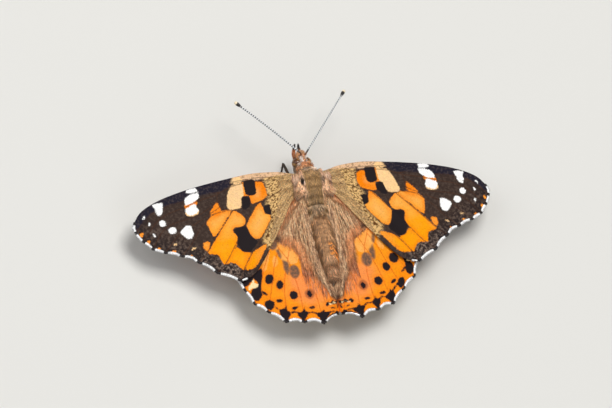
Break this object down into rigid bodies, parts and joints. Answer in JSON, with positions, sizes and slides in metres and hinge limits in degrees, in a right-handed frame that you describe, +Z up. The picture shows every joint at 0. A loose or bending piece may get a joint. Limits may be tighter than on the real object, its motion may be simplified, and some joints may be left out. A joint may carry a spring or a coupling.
{
  "type": "painted lady butterfly",
  "caption": "Life-size painted lady butterfly standing with its scalloped orange, black and white wings spread flat.",
  "frame": {"origin": "on the floor under the middle of the butterfly's box", "axes": "+X to the butterfly's right wing, +Y towards its head, +Z up from the floor"},
  "size_m": [0.0648, 0.0418, 0.0094],
  "materials": {
    "wing_scales": "matte scales, orange with black and white markings above, buff with eyespots below",
    "body_hair": "brown and buff hair",
    "eye": "satin, mottled brown",
    "feelers_and_legs": "fine dark and pale scales",
    "mouthparts": "short dark bristles"
  },
  "bodies": {
    "root": {"head": "body_hair", "thorax": "body_hair", "abdomen": "body_hair", "eye_left": "eye", "antenna_left": "feelers_and_legs", "palp_left": "mouthparts", "foreleg_left": "body_hair", "midleg_left": "feelers_and_legs", "hindleg_left": "feelers_and_legs", "forewing_left": "wing_scales", "hindwing_left": "wing_scales", "eye_right": "eye", "antenna_right": "feelers_and_legs", "palp_right": "mouthparts", "foreleg_right": "body_hair", "midleg_right": "feelers_and_legs", "hindleg_right": "feelers_and_legs", "forewing_right": "wing_scales", "hindwing_right": "wing_scales", "proboscis": "mouthparts"}
  },
  "joints": []
}
